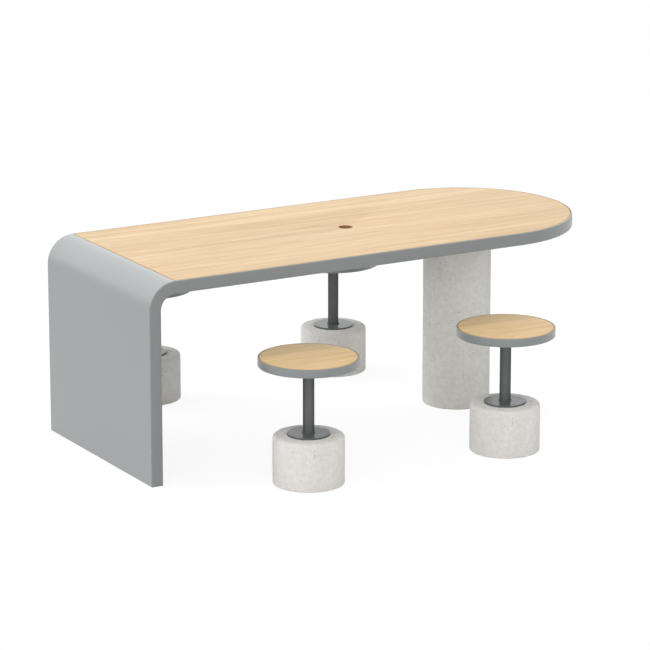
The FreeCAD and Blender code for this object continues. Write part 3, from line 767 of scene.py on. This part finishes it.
def floor_look():
    """Pale floor that looks white, and keeps a soft shadow near the object."""
    graph = Graph("floor")
    output = graph.nodes["Material Output"]
    graph.nodes.remove(graph.shader)
    lit = graph.add("BsdfDiffuse", {"Color": FLOOR_COLOUR}).outputs["BSDF"]
    white = graph.add("Emission", {"Color": WHITE, "Strength": 1.0}).outputs["Emission"]
    glow = graph.add("Emission", {"Color": WHITE, "Strength": SHADOW_GLOW}).outputs["Emission"]
    shadow = graph.add("BsdfDiffuse", {"Color": SHADOW_COLOUR}).outputs["BSDF"]
    near = graph.add("AddShader", {0: glow, 1: shadow}).outputs["Shader"]
    reach = graph.add("VectorMath", {0: graph.spot}, operation="LENGTH").outputs["Value"]
    fade = graph.spread(reach, SHADOW_START, SHADOW_END)
    seen = graph.add("MixShader", {0: fade, 1: near, 2: white}).outputs["Shader"]
    share = seen_share(graph.nodes, graph.links)
    whole = graph.add("MixShader", {0: share, 1: lit, 2: seen}).outputs["Shader"]
    graph.feed(output.inputs["Surface"], whole)
    return graph.material


def build_floor():
    """Wide flat floor under the object."""
    mesh = bmesh.new()
    corners = [(-FLOOR_HALF, -FLOOR_HALF), (FLOOR_HALF, -FLOOR_HALF), (FLOOR_HALF, FLOOR_HALF),
               (-FLOOR_HALF, FLOOR_HALF)]
    mesh.faces.new([mesh.verts.new((x, y, 0)) for x, y in corners])
    data = bpy.data.meshes.new("floor")
    mesh.to_mesh(data)
    mesh.free()
    data.materials.append(floor_look())
    floor = bpy.data.objects.new("floor", data)
    scene.collection.objects.link(floor)


def build_lamps():
    """Wide soft lamps."""
    for name, (source, strength, width, shows) in LAMPS.items():
        lamp = bpy.data.lights.new(name, "SUN")
        lamp.energy = strength
        lamp.angle = math.radians(width)
        holder = bpy.data.objects.new(name, lamp)
        holder.rotation_euler = Vector(source).to_track_quat("Z", "Y").to_euler()
        holder.visible_glossy = shows
        scene.collection.objects.link(holder)


def build_room():
    """Plain pale room that looks white."""
    world = bpy.data.worlds.new("room")
    world.use_nodes = True
    scene.world = world
    nodes, links = world.node_tree.nodes, world.node_tree.links
    room = nodes["Background"]
    room.inputs["Strength"].default_value = AMBIENT
    room.inputs["Color"].default_value = WHITE
    white = nodes.new("ShaderNodeBackground")
    white.inputs["Color"].default_value = WHITE
    mixed = nodes.new("ShaderNodeMixShader")
    links.new(seen_share(nodes, links), mixed.inputs[0])
    links.new(room.outputs["Background"], mixed.inputs[1])
    links.new(white.outputs["Background"], mixed.inputs[2])
    links.new(mixed.outputs["Shader"], nodes["World Output"].inputs["Surface"])


def build_camera():
    """Long lens from the front left, as in the photograph."""
    data = bpy.data.cameras.new("camera")
    data.lens = CAMERA_LENS
    data.clip_end = CAMERA_REACH
    camera = bpy.data.objects.new("camera", data)
    camera.location = CAMERA_PLACE
    camera.rotation_euler = (math.radians(CAMERA_TILT), 0, math.radians(CAMERA_TURN))
    scene.collection.objects.link(camera)
    scene.camera = camera


looks = {
    "satin_paint": satin_paint(),
    "dark_steel": graphite("graphite coat", FLANGE, FLANGE_PALE, FLANGE_ROUGH,
                           sheen=0.115, edge_shade=0.0),
    # The posts' coat carries painted shade on its slanted sides.
    "post_coat": graphite("dull graphite coat", GRAPHITE, GRAPHITE_PALE, POST_ROUGH,
                          sheen=0.10, edge_shade=0.9),
    "zinc_steel": zinc(),
    "concrete": concrete(),
    "top_wood": wood("table wood", TOP_WOOD_PALE, TOP_WOOD_DEEP, TOP_BANDS, board_high.y,
                     table_border, sheen=0.06, seam=True),
    "seat_wood": wood("seat wood", SEAT_WOOD_PALE, SEAT_WOOD_DEEP, SEAT_BANDS_AND_PAINTED_LIGHT, SEAT_RADIUS,
                      seat_border, sheen=0.4),
    "cut_wood": wood_edge(),
}
dress_frame()
build_outer_skin()
build_inner_skin()
build_sides()
build_end_band()
build_board()
build_column()
for stool in STOOLS:
    build_stool(stool)
build_floor()
build_lamps()
build_room()
build_camera()
scene.view_settings.view_transform = "Standard"
